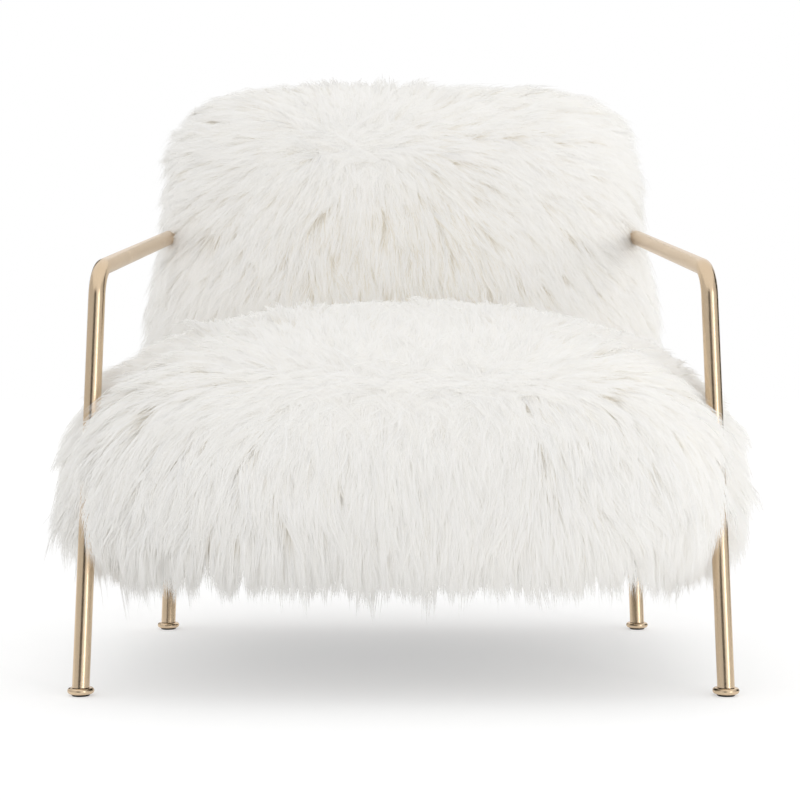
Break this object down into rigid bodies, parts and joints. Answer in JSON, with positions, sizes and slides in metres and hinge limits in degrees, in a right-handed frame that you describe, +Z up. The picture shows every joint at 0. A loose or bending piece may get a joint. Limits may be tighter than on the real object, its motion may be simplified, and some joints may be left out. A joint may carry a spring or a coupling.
{
  "type": "lounge armchair",
  "caption": "Lounge armchair with a plump seat and back in long shaggy fur on a frame of bent round tube, with screw-in foot discs.",
  "frame": {"origin": "on the floor, under the middle of the chair's bounding box", "axes": "+Z up, the chair's front faces -Y, +X is the right-hand side as the picture shows it"},
  "size_m": [0.807, 0.7322, 0.7663],
  "materials": {
    "satin_brass": "satin champagne brass plate",
    "white_fur": "long shaggy white fur",
    "foam": "upholstery foam",
    "plywood": "raw birch plywood",
    "dust_cloth": "black non-woven cloth",
    "zinc_steel": "zinc plated",
    "black_rubber": "matt black"
  },
  "bodies": {
    "chair": {"side_frame_left": "satin_brass", "side_frame_right": "satin_brass", "seat_rail_front": "satin_brass", "seat_rail_rear": "satin_brass", "back_rail_lower": "satin_brass", "back_rail_upper": "satin_brass", "seat_board": "plywood", "back_board": "plywood", "seat_foam": "foam", "back_foam": "foam", "seat_cover": "white_fur", "back_cover": "white_fur", "seat_dust_cover": "dust_cloth", "leg_insert_front_left": "zinc_steel", "leg_insert_front_right": "zinc_steel", "leg_insert_rear_left": "zinc_steel", "leg_insert_rear_right": "zinc_steel", "seat_bolt_front_left": "zinc_steel", "seat_bolt_front_right": "zinc_steel", "seat_bolt_rear_left": "zinc_steel", "seat_bolt_rear_right": "zinc_steel", "seat_nut_front_left": "zinc_steel", "seat_nut_front_right": "zinc_steel", "seat_nut_rear_left": "zinc_steel", "seat_nut_rear_right": "zinc_steel", "back_bolt_lower_left": "zinc_steel", "back_bolt_lower_right": "zinc_steel", "back_bolt_upper_left": "zinc_steel", "back_bolt_upper_right": "zinc_steel", "back_nut_lower_left": "zinc_steel", "back_nut_lower_right": "zinc_steel", "back_nut_upper_left": "zinc_steel", "back_nut_upper_right": "zinc_steel"},
    "glide_front_left": {"glide_disc_front_left": "satin_brass", "glide_pad_front_left": "black_rubber"},
    "glide_front_right": {"glide_disc_front_right": "satin_brass", "glide_pad_front_right": "black_rubber"},
    "glide_rear_left": {"glide_disc_rear_left": "satin_brass", "glide_pad_rear_left": "black_rubber"},
    "glide_rear_right": {"glide_disc_rear_right": "satin_brass", "glide_pad_rear_right": "black_rubber"}
  },
  "joints": [
    {"name": "level_front_left", "type": "slide", "parent": "chair", "child": "glide_front_left", "axis": [0, 0, -1], "range_m": [0, 0.008]},
    {"name": "level_front_right", "type": "slide", "parent": "chair", "child": "glide_front_right", "axis": [0, 0, -1], "range_m": [0, 0.008]},
    {"name": "level_rear_left", "type": "slide", "parent": "chair", "child": "glide_rear_left", "axis": [0, 0, -1], "range_m": [0, 0.008]},
    {"name": "level_rear_right", "type": "slide", "parent": "chair", "child": "glide_rear_right", "axis": [0, 0, -1], "range_m": [0, 0.008]}
  ]
}
